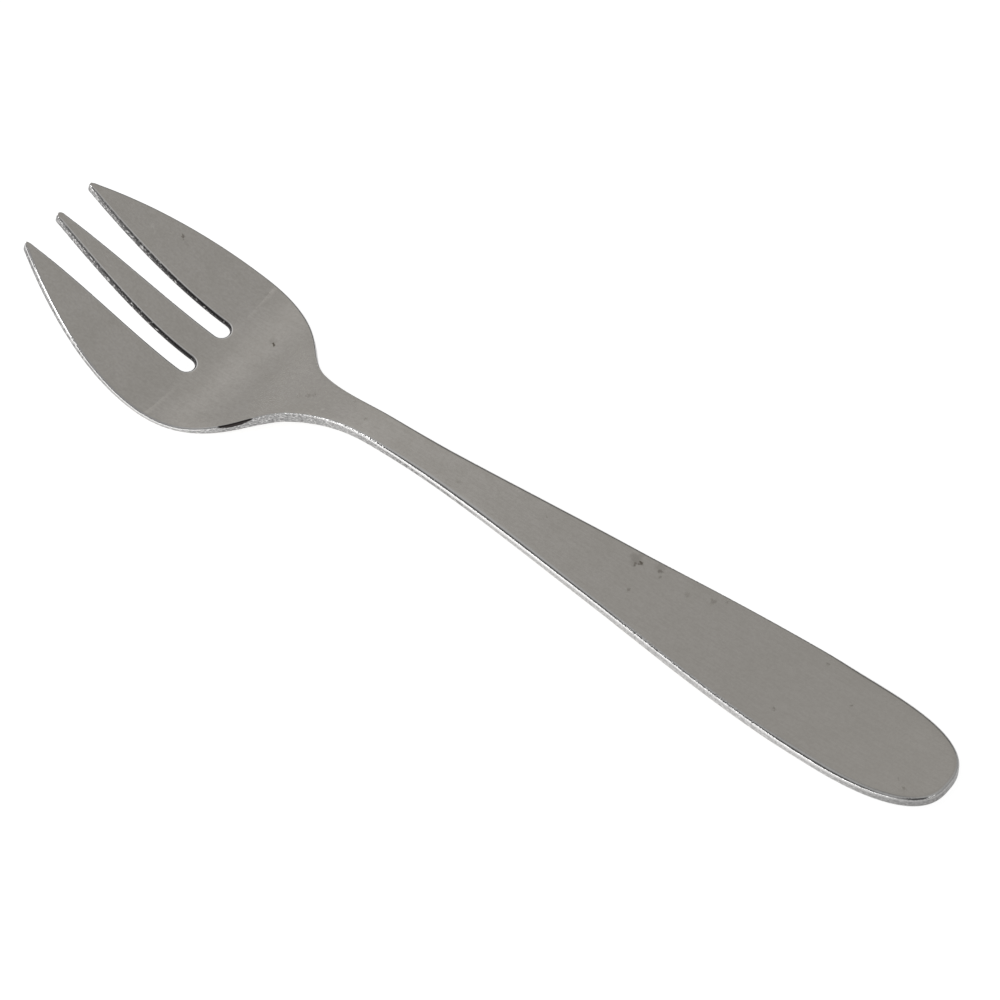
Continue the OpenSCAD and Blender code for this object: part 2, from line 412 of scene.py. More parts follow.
# The tines run straight towards their points, so their slope there is added, and fades out at the belly
share = add_node(bent_line, "ShaderNodeMapRange", inputs={**stretch, "From Max": given["Belly place"]})
left = add_node(bent_line, "ShaderNodeMath", {0: 1.0, 1: share.outputs["Result"]}, operation="SUBTRACT")
left_squared = add_node(bent_line, "ShaderNodeMath", {0: left.outputs[0], 1: 2.0}, operation="POWER")
hump = add_node(bent_line, "ShaderNodeMath",
                {0: left_squared.outputs[0], 1: share.outputs["Result"]}, operation="MULTIPLY")
reach = add_node(bent_line, "ShaderNodeMath",
                 {0: given["Belly place"], 1: given["Tine slope"]}, operation="MULTIPLY")
height = add_node(bent_line, "ShaderNodeMath", operation="MULTIPLY_ADD", inputs={
    0: hump.outputs[0], 1: reach.outputs[0], 2: handle_fall.outputs["Result"]})
bent_line.links.new(height.outputs[0], result.inputs["Height"])
print(f"The bent line takes {len(bent_line.nodes)} nodes")

# %% [markdown]
# The rolled thickness is a second group. The tines and the neck are a little thicker than the belly, and the
# handle is the thickest, as on a real fork that has been rolled before it is pressed.

# %% Group for the rolled thickness
thickness_inputs = [
    "Tine thickness", "Belly thickness", "Neck thickness", "Handle thickness", "End thickness",
    "Belly place", "Fillet place", "Crest place", "Taper place", "Length",
]
rolled, given, result = new_group("Rolled thickness", ["Place", *thickness_inputs], "Thickness")
stretches = [
    ("Belly place", "Belly thickness"), ("Fillet place", "Neck thickness"),
    ("Taper place", "Handle thickness"), ("Length", "End thickness"),
]
before, thickness = None, given["Tine thickness"]
for place, rolled_to in stretches:
    start = "Crest place" if before == "Fillet place" else before
    limits = {"From Min": given[start]} if start else {}
    step = add_node(rolled, "ShaderNodeMapRange", interpolation_type="SMOOTHSTEP", inputs={
        "Value": given["Place"], "From Max": given[place], "To Min": thickness,
        "To Max": given[rolled_to], **limits})
    before, thickness = place, step.outputs["Result"]
rolled.links.new(thickness, result.inputs["Thickness"])
print(f"The thickness changes over {len(stretches)} stretches")

# %% [markdown]
# The press itself. Each size is a named input on the modifier, so that the fork can be bent in another way by
# changing numbers alone. The last two are for a slight unevenness of the edge, which a noise of fixed seed
# draws in. The broken glints on the edge come from the belt's marks instead, further down in the steel.

# %% Tree of the press
press = bpy.data.node_groups.new("Press the fork", "GeometryNodeTree")
press.interface.new_socket("Geometry", in_out="INPUT", socket_type="NodeSocketGeometry")
press_sizes = {
    "Length": length, "Head width": head_width, "Shoulder place": shoulder_at,
    "Sheet thickness": sheet_thickness,
    "Tip rise": 10.51 * MM, "Tine slope": -0.455, "Belly place": belly_at, "Fillet place": fillet_at,
    "Crest place": 54.3 * MM, "Crest height": 4.7 * MM, "Rest place": length - 7 * MM,
    "Taper place": taper_at, "Tine thickness": 1.35 * MM, "Belly thickness": 0.9 * MM,
    "Neck thickness": 1.6 * MM, "Handle thickness": 1.7 * MM, "End thickness": 1.7 * MM,
    "Dish": 0.55 * MM, "Worn flat": 0.05 * MM, "Slope step": 0.3 * MM,
    "Unevenness": 0.015 * MM, "Grain of unevenness": 0.8 * MM,
}
for name, size in press_sizes.items():
    socket = press.interface.new_socket(name, in_out="INPUT", socket_type="NodeSocketFloat")
    socket.default_value = size
press.interface.new_socket("Steel", in_out="INPUT", socket_type="NodeSocketMaterial")
press.interface.new_socket("Geometry", in_out="OUTPUT", socket_type="NodeSocketGeometry")
given = press.nodes.new("NodeGroupInput").outputs
result = press.nodes.new("NodeGroupOutput")

# The uneven edge comes first: it is drawn inwards a little, more in some places than in others
uneven_seed = 7.0
frequency = add_node(press, "ShaderNodeMath", {0: 1.0, 1: given["Grain of unevenness"]}, operation="DIVIDE")
grain = add_node(press, "ShaderNodeTexNoise", noise_dimensions="4D", inputs={
    "W": uneven_seed, "Scale": frequency.outputs[0], "Detail": 2.0})
edge_mark = add_node(press, "GeometryNodeInputNamedAttribute", {"Name": "edge"}, data_type="FLOAT")
depth = add_node(press, "ShaderNodeMath", {0: grain.outputs[0], 1: given["Unevenness"]}, operation="MULTIPLY")
on_edge = add_node(press, "ShaderNodeMath", operation="MULTIPLY", inputs={
    0: depth.outputs[0], 1: edge_mark.outputs["Attribute"]})
inwards = add_node(press, "ShaderNodeMath", {0: on_edge.outputs[0], 1: -1.0}, operation="MULTIPLY")
outwards = add_node(press, "GeometryNodeInputNormal")
shift = add_node(press, "ShaderNodeVectorMath", operation="SCALE", inputs={
    0: outwards.outputs[0], "Scale": inwards.outputs[0]})
uneven = add_node(press, "GeometryNodeSetPosition", {
    "Geometry": given["Geometry"], "Offset": shift.outputs[0]})
position = add_node(press, "GeometryNodeInputPosition")
flat = add_node(press, "ShaderNodeSeparateXYZ", {0: position.outputs[0]})
place, across, level = flat.outputs

# Height and slope of the bent line at each point
ahead = add_node(press, "ShaderNodeMath", {0: place, 1: given["Slope step"]}, operation="ADD")
behind = add_node(press, "ShaderNodeMath", {0: place, 1: given["Slope step"]}, operation="SUBTRACT")
heights = []
for at in (place, ahead.outputs[0], behind.outputs[0]):
    sizes = {"Place": at, **{name: given[name] for name in line_inputs}}
    heights.append(add_node(press, "GeometryNodeGroup", sizes, node_tree=bent_line).outputs["Height"])
climb = add_node(press, "ShaderNodeMath", {0: heights[1], 1: heights[2]}, operation="SUBTRACT")
run = add_node(press, "ShaderNodeMath", {0: given["Slope step"], 1: 2.0}, operation="MULTIPLY")
pitch = add_node(press, "ShaderNodeMath", {0: climb.outputs[0], 1: run.outputs[0]}, operation="ARCTAN2")
lean = add_node(press, "ShaderNodeMath", {0: pitch.outputs[0]}, operation="SINE")
upright = add_node(press, "ShaderNodeMath", {0: pitch.outputs[0]}, operation="COSINE")

# The rolled sheet: each face moves in or out by half the change, and the wall shrinks between them
sizes = {"Place": place, **{name: given[name] for name in thickness_inputs}}
thick = add_node(press, "GeometryNodeGroup", sizes, node_tree=rolled).outputs["Thickness"]
half = add_node(press, "ShaderNodeMath", {0: thick, 1: 0.5}, operation="MULTIPLY")
sheet_half = add_node(press, "ShaderNodeMath", {0: given["Sheet thickness"], 1: 0.5}, operation="MULTIPLY")
change = add_node(press, "ShaderNodeMath", operation="SUBTRACT", inputs={
    0: half.outputs[0], 1: sheet_half.outputs[0]})
side = add_node(press, "GeometryNodeInputNamedAttribute", {"Name": "side"}, data_type="FLOAT")
offset = add_node(press, "ShaderNodeMath", operation="MULTIPLY_ADD", inputs={
    0: side.outputs["Attribute"], 1: change.outputs[0], 2: level})

# The dish: a rise that grows with the square of the distance from the middle and fades out at the neck
fade = add_node(press, "ShaderNodeMapRange", interpolation_type="SMOOTHSTEP", inputs={
    "Value": place, "From Min": given["Shoulder place"], "From Max": given["Crest place"],
    "To Min": given["Dish"], "To Max": 0.0})
half_head = add_node(press, "ShaderNodeMath", {0: given["Head width"], 1: 0.5}, operation="MULTIPLY")
distance = add_node(press, "ShaderNodeMath", {0: across}, operation="ABSOLUTE")
aside = add_node(press, "ShaderNodeMath", operation="DIVIDE", inputs={
    0: distance.outputs[0], 1: half_head.outputs[0]})
squared = add_node(press, "ShaderNodeMath", {0: aside.outputs[0], 1: 2.0}, operation="POWER")
dished = add_node(press, "ShaderNodeMath", operation="MULTIPLY", inputs={
    0: squared.outputs[0], 1: fade.outputs["Result"]})

# The pressed place of each point, and the flats that use has worn where the fork rests
back = add_node(press, "ShaderNodeMath", {0: offset.outputs[0], 1: lean.outputs[0]}, operation="MULTIPLY")
half_length = add_node(press, "ShaderNodeMath", {0: given["Length"], 1: 0.5}, operation="MULTIPLY")
centred = add_node(press, "ShaderNodeMath", {0: place, 1: half_length.outputs[0]}, operation="SUBTRACT")
new_place = add_node(press, "ShaderNodeMath", operation="SUBTRACT", inputs={
    0: centred.outputs[0], 1: back.outputs[0]})
middle = add_node(press, "ShaderNodeMath", {0: heights[0], 1: half.outputs[0]}, operation="ADD")
raised = add_node(press, "ShaderNodeMath", {0: middle.outputs[0], 1: dished.outputs[0]}, operation="ADD")
lifted = add_node(press, "ShaderNodeMath", operation="MULTIPLY_ADD", inputs={
    0: offset.outputs[0], 1: upright.outputs[0], 2: raised.outputs[0]})
sunk = add_node(press, "ShaderNodeMath", {0: lifted.outputs[0], 1: given["Worn flat"]}, operation="SUBTRACT")
rested = add_node(press, "ShaderNodeMath", {0: sunk.outputs[0], 1: 0.0}, operation="MAXIMUM")
pressed_place = add_node(press, "ShaderNodeCombineXYZ", {
    "X": new_place.outputs[0], "Y": across, "Z": rested.outputs[0]})
pressed = add_node(press, "GeometryNodeSetPosition", {
    "Geometry": uneven.outputs[0], "Position": pressed_place.outputs[0]})

smooth = add_node(press, "GeometryNodeSetShadeSmooth", {"Geometry": pressed.outputs[0]})
real = add_node(press, "GeometryNodeRealizeInstances", {"Geometry": smooth.outputs[0]})
finished = add_node(press, "GeometryNodeSetMaterial", {
    "Geometry": real.outputs[0], "Material": given["Steel"]})
press.links.new(finished.outputs[0], result.inputs["Geometry"])
print(f"The press has {len(press.nodes)} nodes and {len(press_sizes)} sizes")

# %% [markdown]
# Stainless steel as cutlery is made of, polished on soft wheels and then worn by years of use. It is all
# metal: its colour is how much of each colour it mirrors, a little over half, slightly warm. Use has left it
# with a satin haze, so its roughness is moderate and varies in soft clouds some millimetres wide.
#
# The finish could be one noise between two greys, but a used fork shows more than that. So it is built up in
# layers: haze, fine grain and polishing lines, the rub of the edge and the marks that a belt left on it, the
# sheared walls of the slots, small pits, and a few stains and scuffs. Painted shade is laid over the handle,
# the wall of the edge, the slots and a streak behind one shoulder, and a painted highlight over the slots'
# rims.

# %% Colours
def linear(hex_colour):
    """An sRGB colour such as #c5c1ba as the linear values that Blender works in."""
    parts = [int(hex_colour[i : i + 2], 16) / 255 for i in (1, 3, 5)]
    return [c / 12.92 if c <= 0.04045 else ((c + 0.055) / 1.055) ** 2.4 for c in parts] + [1.0]


STEEL_COLOUR = linear("#cdc9c3")
CLOUD_COLOUR = linear("#c6c2bb")
GRAIN_COLOUR = linear("#b5b0a9")
RUBBED_COLOUR = linear("#d2d1d0")
# Painted shade for the handle's face
HANDLE_SHADE_COLOUR = linear("#bebab3")
# Painted shade for the wall of the edge
WALL_SHADE_COLOUR = linear("#434243")
BELT_COLOUR = linear("#757474")
# A painted highlight, paler than the steel, for the rims of the slots
LIP_HIGHLIGHT_COLOUR = linear("#eceae8")
SCUFF_COLOUR = linear("#d8d4ce")
STAIN_COLOUR = linear("#7b746b")
# Painted shade for a dark streak in the wall behind one shoulder
DARK_STREAK_COLOUR = linear("#373332")
# The slots' walls: rough sheared steel, darkened further with painted shade
SHEARED_AND_SHADED_COLOUR = linear("#3a3839")
print("The clean steel mirrors", [round(c, 3) for c in STEEL_COLOUR[:3]])

# %% [markdown]
# Each kind of mark starts as a value that changes over the steel: a noise whose patches have a real size in
# millimetres, one of the three attributes of the blank's points, or the place along the fork. A smooth step
# turns the value into a mask, black where the mark isn't and white where it is.

# %% Grains of the steel
steel = bpy.data.materials.new("worn_polished_stainless_steel")
steel.use_nodes = True
paint = steel.node_tree
shader = paint.nodes["Principled BSDF"]
shader.inputs["Metallic"].default_value = 1.0
place_on_fork = add_node(paint, "ShaderNodeTexCoord").outputs["Object"]
place_x = add_node(paint, "ShaderNodeSeparateXYZ", {0: place_on_fork}).outputs["X"]
edge, side, punched_and_shaded = [
    add_node(paint, "ShaderNodeAttribute", attribute_name=name).outputs["Fac"]
    for name in ("edge", "side", "punched_and_shaded")
]

# The size of the patches in metres, how finely they break up, and the stretch along the three axes
grain_sizes = {
    "clouds": (5 * MM, 3.0, (1, 1, 1)),
    "mottling": (1.6 * MM, 3.0, (1, 1, 1)),
    "grain": (0.4 * MM, 2.0, (1, 1, 1)),
    "polishing lines": (0.2 * MM, 2.0, (30, 1, 1)),
    "belt marks": (0.25 * MM, 3.0, (1, 1, 3)),
    "wall streaks": (0.12 * MM, 3.0, (3, 3, 1)),
    "flecks": (0.32 * MM, 2.0, (1, 1, 1)),
    "pitted areas": (9 * MM, 2.0, (1, 1, 1)),
}
grains = {}
for name, (size, detail, stretch) in grain_sizes.items():
    stretched = add_node(paint, "ShaderNodeVectorMath", {0: place_on_fork, 1: stretch}, operation="DIVIDE")
    grains[name] = add_node(paint, "ShaderNodeTexNoise", {
        "Vector": stretched.outputs[0], "Scale": 1 / size, "Detail": detail}).outputs[0]

# Few flecks at the slots' roots, where the punch tore the steel, and more towards the tine points
flecks_lost = 0.42
fleck_field = add_node(paint, "ShaderNodeMath", operation="MULTIPLY_ADD", inputs={
    0: punched_and_shaded, 1: -flecks_lost, 2: grains["flecks"]}).outputs[0]
print("Grains in mm:", {name: round(size / MM, 2) for name, (size, _, _) in grain_sizes.items()})

# %% Masks from the grains
# The value, where the smooth step starts and ends, and how strong the mask is where it ends
steps = {
    "clouds": (grains["clouds"], 0.3, 0.7, 0.6),
    "mottling": (grains["mottling"], 0.3, 0.7, 0.4),
    "grain": (grains["grain"], 0.35, 0.75, 0.3),
    "polishing lines": (grains["polishing lines"], 0.35, 0.75, 0.25),
    "belt marks": (grains["belt marks"], 0.45, 0.7, 0.35),
    "rubbed": (edge, 0.1, 0.6, 1.0),
    "wall": (edge, 0.98, 1.0, 1.0),
    "patchy": (grains["wall streaks"], 0.32, 0.6, 1.0),
    # Painted shade on the face, growing from just past the neck towards the handle's end
    "painted handle shade": (place_x, -15 * MM, 68 * MM, 0.58),
    "outside the slots": (punched_and_shaded, 0.3, 0.1, 1.0),
    "inside the slots": (punched_and_shaded, 0.2, 0.4, 1.0),
    "lip starts": (edge, 0.02, 0.14, 1.0),
    "lip ends": (edge, 0.5, 0.35, 1.0),
    "shear starts": (edge, 0.35, 0.6, 1.0),
    "torn and shaded": (punched_and_shaded, 0.1, 0.95, 1.0),
    "between flecks": (fleck_field, 0.36, 0.2, 1.0),
    "upper face": (side, 0.9, 0.99, 1.0),
}
masks = {}
for name, (value, start, end, strength) in steps.items():
    masks[name] = add_node(paint, "ShaderNodeMapRange", interpolation_type="SMOOTHSTEP", inputs={
        "Value": value, "From Min": start, "From Max": end, "To Max": strength}).outputs["Result"]
haze = add_node(paint, "ShaderNodeMath", operation="ADD", inputs={
    0: masks["clouds"], 1: masks["mottling"]}).outputs[0]
print(f"{len(grains)} grains and {len(masks)} masks in the steel")

# %% [markdown]
# The wall of the edge gets a painted shade, patchy and not alike all along: least at the shoulders and along
# the handle, more in the curve behind the head and past the neck, and most along the tines. The belt that
# smoothed the edge chattered in two places, so that the edge is ragged there. A colour ramp along the fork
# says how strong the painted shade is and how ragged the edge is in each place. Masks that depend on more
# than one thing are products of simpler masks.

# %% Painted wall shade, ragged edge and slots
# Millimetres from the tine points, and how strong the wall's painted shade or how ragged the edge is there
belt_work_and_wall_shade = {
    "wall shade along the fork": [
        (0, 0.95), (12, 0.95), (18, 0.82), (24, 0.42), (28, 0.4), (33, 0.62), (40, 0.7), (50, 0.52),
        (60, 0.8), (68, 0.82), (75, 0.42), (120, 0.4), (130, 0.36), (138, 0.44), (143, 0.46),
    ],
    "ragged": [
        (0, 0.15), (30, 0.15), (37, 1.0), (52, 1.0), (58, 0.15), (92, 0.2), (99, 0.9), (119, 0.9),
        (124, 0.25), (143, 0.4),
    ],
}
along = add_node(paint, "ShaderNodeMapRange", {
    "Value": place_x, "From Min": -length / 2, "From Max": length / 2})
for name, places in belt_work_and_wall_shade.items():
    amounts = add_node(paint, "ShaderNodeValToRGB", {0: along.outputs["Result"]})
    stops = amounts.color_ramp.elements
    for at, amount in places[1:-1]:
        stops.new(at * MM / length).color = (amount, amount, amount, 1)
    for stop, (at, amount) in ((stops[0], places[0]), (stops[-1], places[-1])):
        stop.color = (amount, amount, amount, 1)
    masks[name] = amounts.outputs["Color"]

products = {
    # Painted shade on the wall of the edge, patchy and strongest along the tines
    "painted wall shade": [masks["wall"], masks["patchy"], masks["outside the slots"], masks["wall shade along the fork"]],
    # A painted highlight along the rolled rim of each slot's wall
    "painted lip highlight": [punched_and_shaded, masks["lip starts"], masks["lip ends"]],
    # The slots' walls: sheared steel with painted shade laid over it, darkest at the roots
    "sheared and shaded": [masks["inside the slots"], masks["shear starts"], masks["between flecks"], masks["torn and shaded"]],
    "belt marks": [masks["rubbed"], masks["belt marks"], masks["ragged"]],
    "belt relief": [edge, grains["belt marks"], masks["ragged"]],
}
for name, (product, *factors) in products.items():
    for factor in factors:
        product = add_node(paint, "ShaderNodeMath", {0: product, 1: factor}, operation="MULTIPLY").outputs[0]
    masks[name] = product
print("Masks made as products:", ", ".join(products))

# %% [markdown]
# Stains are where something dried on the fork, and scuffs are pale spots that were rubbed. Each is a place on
# the upper face, a radius and a strength. The distance to it is warped with noise, so that none is round. The
# pits come from a Voronoi texture, whose cells put one in each patch of 3.5 mm where the steel is pitted.

# %% Stains, scuffs and pits
# Place along the fork, place across it, radius, all in mm, and strength
face_marks = {
    "stains": [
        (-40.0, 6.0, 0.35, 1.0), (-40.3, 6.3, 0.8, 0.2), (-58.9, 10.55, 0.25, 0.7), (-58.5, 10.35, 0.2, 0.5),
        (-57.8, 10.1, 0.5, 0.12), (-29.1, -0.2, 0.5, 0.3), (-28.6, 0.3, 0.4, 0.25), (-30.2, -0.8, 0.3, 0.2),
        (-45.9, 12.2, 0.6, 0.12), (22.0, 3.4, 0.45, 0.95), (21.6, 2.9, 0.4, 0.7), (21.2, 3.5, 1.3, 0.3),
        (24.7, 3.9, 0.5, 0.6), (24.3, 4.5, 1.0, 0.2), (25.2, 3.1, 0.3, 0.4), (23.2, -1.0, 0.3, 0.4),
        (29.4, 3.2, 0.4, 0.2), (32.6, 4.5, 0.5, 0.35), (34.0, 5.4, 0.35, 0.25), (55.2, 2.4, 0.3, 0.5),
        (49.4, 5.8, 0.35, 0.45), (47.7, -4.0, 0.35, 0.45), (67.4, -4.0, 0.4, 0.35), (66.2, -3.4, 0.3, 0.25),
        (-3.6, -1.0, 0.5, 0.2), (8.5, 1.6, 0.3, 0.25), (-22.8, 1.7, 0.3, 0.3), (-19.6, -0.2, 0.3, 0.3),
    ],
    "scuffs": [
        (-62.3, 8.35, 0.45, 0.5), (-61.6, 8.0, 0.3, 0.4), (-25.7, -1.3, 0.4, 0.5), (-27.4, -0.9, 0.3, 0.4),
        (-24.2, -0.3, 0.3, 0.3), (-63.5, 0.4, 0.3, 0.4), (-62.2, -0.3, 0.35, 0.35),
        (2.2, 3.0, 0.25, 0.6), (2.8, 2.85, 0.25, 0.6), (3.4, 2.7, 0.2, 0.5), (-1.3, 3.0, 0.2, 0.5),
    ],
}
warp_grain = 0.5 * MM
warp_reach = 1.2 * MM
pit_spacing = 3.5 * MM
full_strength_share = 0.3
warp = add_node(paint, "ShaderNodeTexNoise", {
    "Vector": place_on_fork, "Scale": 1 / warp_grain, "Detail": 3.0})
centred_warp = add_node(paint, "ShaderNodeVectorMath", operation="SUBTRACT", inputs={
    0: warp.outputs["Color"], 1: (0.5, 0.5, 0.5)})
warped_place = add_node(paint, "ShaderNodeVectorMath", operation="MULTIPLY_ADD", inputs={
    0: centred_warp.outputs[0], 1: (warp_reach, warp_reach, 0), 2: place_on_fork})
flattened = add_node(paint, "ShaderNodeVectorMath", operation="MULTIPLY", inputs={
    0: warped_place.outputs[0], 1: (1, 1, 0)})

pit_field = add_node(paint, "ShaderNodeTexVoronoi", {"Vector": place_on_fork, "Scale": 1 / pit_spacing})
pit_size = add_node(paint, "ShaderNodeMapRange", interpolation_type="SMOOTHSTEP", inputs={
    "Value": grains["pitted areas"], "From Min": 0.55, "From Max": 0.75, "To Min": 0.02, "To Max": 0.07})
pit_depth = add_node(paint, "ShaderNodeMath", operation="SUBTRACT", inputs={
    0: pit_size.outputs["Result"], 1: pit_field.outputs["Distance"]})
pits = add_node(paint, "ShaderNodeMapRange", interpolation_type="SMOOTHSTEP", inputs={
    "Value": pit_depth.outputs[0], "From Max": 0.03, "To Max": 0.5})

for name, strongest in (("stains", pits.outputs["Result"]), ("scuffs", 0.0)):
    for x, y, radius, strength in face_marks[name]:
        away = add_node(paint, "ShaderNodeVectorMath", operation="DISTANCE", inputs={
            0: flattened.outputs[0], 1: (x * MM, y * MM, 0)})
        spot = add_node(paint, "ShaderNodeMapRange", interpolation_type="SMOOTHSTEP", inputs={
            "Value": away.outputs["Value"], "From Min": radius * MM,
            "From Max": full_strength_share * radius * MM, "To Max": strength})
        strongest = add_node(paint, "ShaderNodeMath", operation="MAXIMUM", inputs={
            0: strongest, 1: spot.outputs["Result"]}).outputs[0]
    masks[name] = add_node(paint, "ShaderNodeMath", operation="MULTIPLY", inputs={
        0: strongest, 1: masks["upper face"]}).outputs[0]

# Painted shade in the curve of the wall behind one shoulder, darkest in its middle
tarnish_at = (-34.8 * MM, -8.5 * MM, 0)
away = add_node(paint, "ShaderNodeVectorMath", operation="DISTANCE", inputs={
    0: flattened.outputs[0], 1: tarnish_at})
near_it = add_node(paint, "ShaderNodeMapRange", interpolation_type="SMOOTHSTEP", inputs={
    "Value": away.outputs["Value"], "From Min": 2.8 * MM, "From Max": 0.6 * MM})
reach_down = add_node(paint, "ShaderNodeMath", operation="MULTIPLY_ADD", inputs={
    0: near_it.outputs["Result"], 1: 0.85, 2: side})
tarnish = add_node(paint, "ShaderNodeMapRange", interpolation_type="SMOOTHSTEP", inputs={
    "Value": reach_down.outputs[0], "From Min": 1.0, "From Max": 1.2})
masks["tarnish"] = add_node(paint, "ShaderNodeMath", operation="MULTIPLY", inputs={
    0: tarnish.outputs["Result"], 1: masks["shear starts"]}).outputs[0]
print({name: len(places) for name, places in face_marks.items()})

# %% [markdown]
# The layers are laid over each other, from the widest to the finest. The same masks set the roughness: the
# haze is satin, the rubbed edge is the brightest part, and a stain or a sheared wall is dull. The fine relief
# is too shallow for the mesh, so the polishing lines and the belt's marks are drawn as a bump.

# %% Colour, roughness and fine relief
colour = STEEL_COLOUR
# Painted shade darkens the handle, the wall of the edge, the slots and a streak behind one shoulder, and a
# painted highlight lightens the slots' rims
for mask, laid_over in [
    (haze, CLOUD_COLOUR), (masks["painted handle shade"], HANDLE_SHADE_COLOUR),
    (masks["polishing lines"], GRAIN_COLOUR), (masks["grain"], GRAIN_COLOUR),
    (masks["scuffs"], SCUFF_COLOUR), (masks["rubbed"], RUBBED_COLOUR), (masks["painted wall shade"], WALL_SHADE_COLOUR),
    (masks["belt marks"], BELT_COLOUR), (masks["stains"], STAIN_COLOUR), (masks["painted lip highlight"], LIP_HIGHLIGHT_COLOUR),
    (masks["sheared and shaded"], SHEARED_AND_SHADED_COLOUR), (masks["tarnish"], DARK_STREAK_COLOUR),
]:
    colour = add_node(paint, "ShaderNodeMix", {0: mask, 6: colour, 7: laid_over}, data_type="RGBA").outputs[2]
paint.links.new(colour, shader.inputs["Base Color"])

satin = add_node(paint, "ShaderNodeMapRange", {
    "Value": haze, "From Min": 0.1, "From Max": 0.9, "To Min": 0.2, "To Max": 0.27})
roughness = satin.outputs["Result"]
for mask, rough in [
    (masks["rubbed"], 0.1), (masks["stains"], 0.38), (masks["sheared and shaded"], 0.38), (masks["tarnish"], 0.3),
]:
    roughness = add_node(paint, "ShaderNodeMix", {0: mask, 2: roughness, 3: rough}).outputs[0]
paint.links.new(roughness, shader.inputs["Roughness"])

# The belt's marks are up to this deep, and the polishing lines are a share of that
relief_depth = 0.1 * MM
polish_share = 0.024
relief = add_node(paint, "ShaderNodeMath", operation="MULTIPLY_ADD", inputs={
    0: grains["polishing lines"], 1: polish_share, 2: masks["belt relief"]})
bump = add_node(paint, "ShaderNodeBump", {
    "Height": relief.outputs[0], "Strength": 1.0, "Distance": relief_depth})
paint.links.new(bump.outputs[0], shader.inputs["Normal"])
print(f"The steel takes {len(paint.nodes)} nodes")

# %% [markdown]
# Now the blank goes through the press. The sizes are set by the identifier of each socket, the evaluated mesh
# is copied out as a plain mesh, and the flat blank is thrown away. The result is held against the CAD solid,
# to be sure that the pressing rule is the same one.

# %% Press the blank
modifier = fork.modifiers.new("press", "NODES")
modifier.node_group = press
for item in press.interface.items_tree:
    if item.in_out == "INPUT" and item.name in press_sizes:
        modifier[item.identifier] = press_sizes[item.name]
    elif item.in_out == "INPUT" and item.name == "Steel":
        modifier[item.identifier] = steel
evaluated = fork.evaluated_get(bpy.context.evaluated_depsgraph_get())
fork_mesh = bpy.data.meshes.new_from_object(evaluated)
fork_mesh.name = "oyster_fork"
fork.modifiers.remove(modifier)
fork.data = fork_mesh
bpy.data.meshes.remove(blank_mesh)

cad_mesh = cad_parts["fork"].data
cad_shape = BVHTree.FromPolygons([v.co for v in cad_mesh.vertices], [p.vertices for p in cad_mesh.polygons])
furthest = max(cad_shape.find_nearest(v.co)[3] for v in fork_mesh.vertices)
print(f"The pressed fork has {len(fork_mesh.polygons)} faces, "
      f"at most {furthest * 1000:.3f} mm off the CAD solid")

# %% [markdown]
# The fork lies on a wide sheet of white paper. The camera sees a greyer paper with a glow of its own, and the
# two together come out as white. In what the steel mirrors the paper glows too, but less close to the fork
# and behind it, where the fork shades it, and less towards both ends.

# %% White paper
PAPER_COLOUR = linear("#e4e4e4")
SEEN_PAPER_COLOUR = linear("#b4b4b4")
paper = bpy.data.materials.new("matt_white_paper")
paper.use_nodes = True
sheet_paint = paper.node_tree
sheet_shader = sheet_paint.nodes["Principled BSDF"]
sheet_shader.inputs["Roughness"].default_value = 0.9
sheet_shader.inputs["Specular IOR Level"].default_value = 0.1
sheet_shader.inputs["Emission Color"].default_value = (1, 1, 1, 1)
ray = add_node(sheet_paint, "ShaderNodeLightPath")
seen = add_node(sheet_paint, "ShaderNodeMath", operation="MAXIMUM", inputs={
    0: ray.outputs["Is Camera Ray"], 1: ray.outputs["Is Transmission Ray"]})
sheet_colour = add_node(sheet_paint, "ShaderNodeMix", data_type="RGBA", inputs={
    0: seen.outputs[0], 6: PAPER_COLOUR, 7: SEEN_PAPER_COLOUR})
sheet_paint.links.new(sheet_colour.outputs[2], sheet_shader.inputs["Base Color"])
place_on_paper = add_node(sheet_paint, "ShaderNodeTexCoord").outputs["Object"]
paper_x, paper_y, _ = add_node(sheet_paint, "ShaderNodeSeparateXYZ", {0: place_on_paper}).outputs
seen_glow = 0.84
mirrored = ray.outputs["Is Glossy Ray"]
for value, start, end, near, far in [
    (paper_y, -7, -15, 0.68, 1.0), (paper_x, -20, -38, 1.0, 0.74), (paper_x, 48, 78, 1.0, 0.3),
]:
    brightness = add_node(sheet_paint, "ShaderNodeMapRange", interpolation_type="SMOOTHSTEP", inputs={
        "Value": value, "From Min": start * MM, "From Max": end * MM, "To Min": near, "To Max": far})
    mirrored = add_node(sheet_paint, "ShaderNodeMath", operation="MULTIPLY", inputs={
        0: mirrored, 1: brightness.outputs["Result"]}).outputs[0]
glow = add_node(sheet_paint, "ShaderNodeMath", operation="MULTIPLY_ADD", inputs={
    0: seen.outputs[0], 1: seen_glow, 2: mirrored})
sheet_paint.links.new(glow.outputs[0], sheet_shader.inputs["Emission Strength"])

floor_half = 6.0
corners = [(x * floor_half, y * floor_half, 0) for x, y in ((-1, -1), (1, -1), (1, 1), (-1, 1))]
floor_mesh = bpy.data.meshes.new("floor")
floor_mesh.from_pydata(corners, [], [(0, 1, 2, 3)])
floor_mesh.materials.append(paper)
floor = bpy.data.objects.new("floor", floor_mesh)
bpy.context.scene.collection.objects.link(floor)
print(f"The paper is {2 * floor_half:.0f} m wide")

# %% [markdown]
# Polished metal shows what is around it more than its own colour, so the light is chosen by what each surface
# mirrors. The face mirrors the room behind the fork, an even grey. The rolled edge along the handle mirrors
# the paper in front and a low softbox, which draw the bright line there, and a small softbox close to the
# tines draws the line along the near one.

# %% Light and camera
scene = bpy.context.scene
scene.view_settings.view_transform = "Standard"

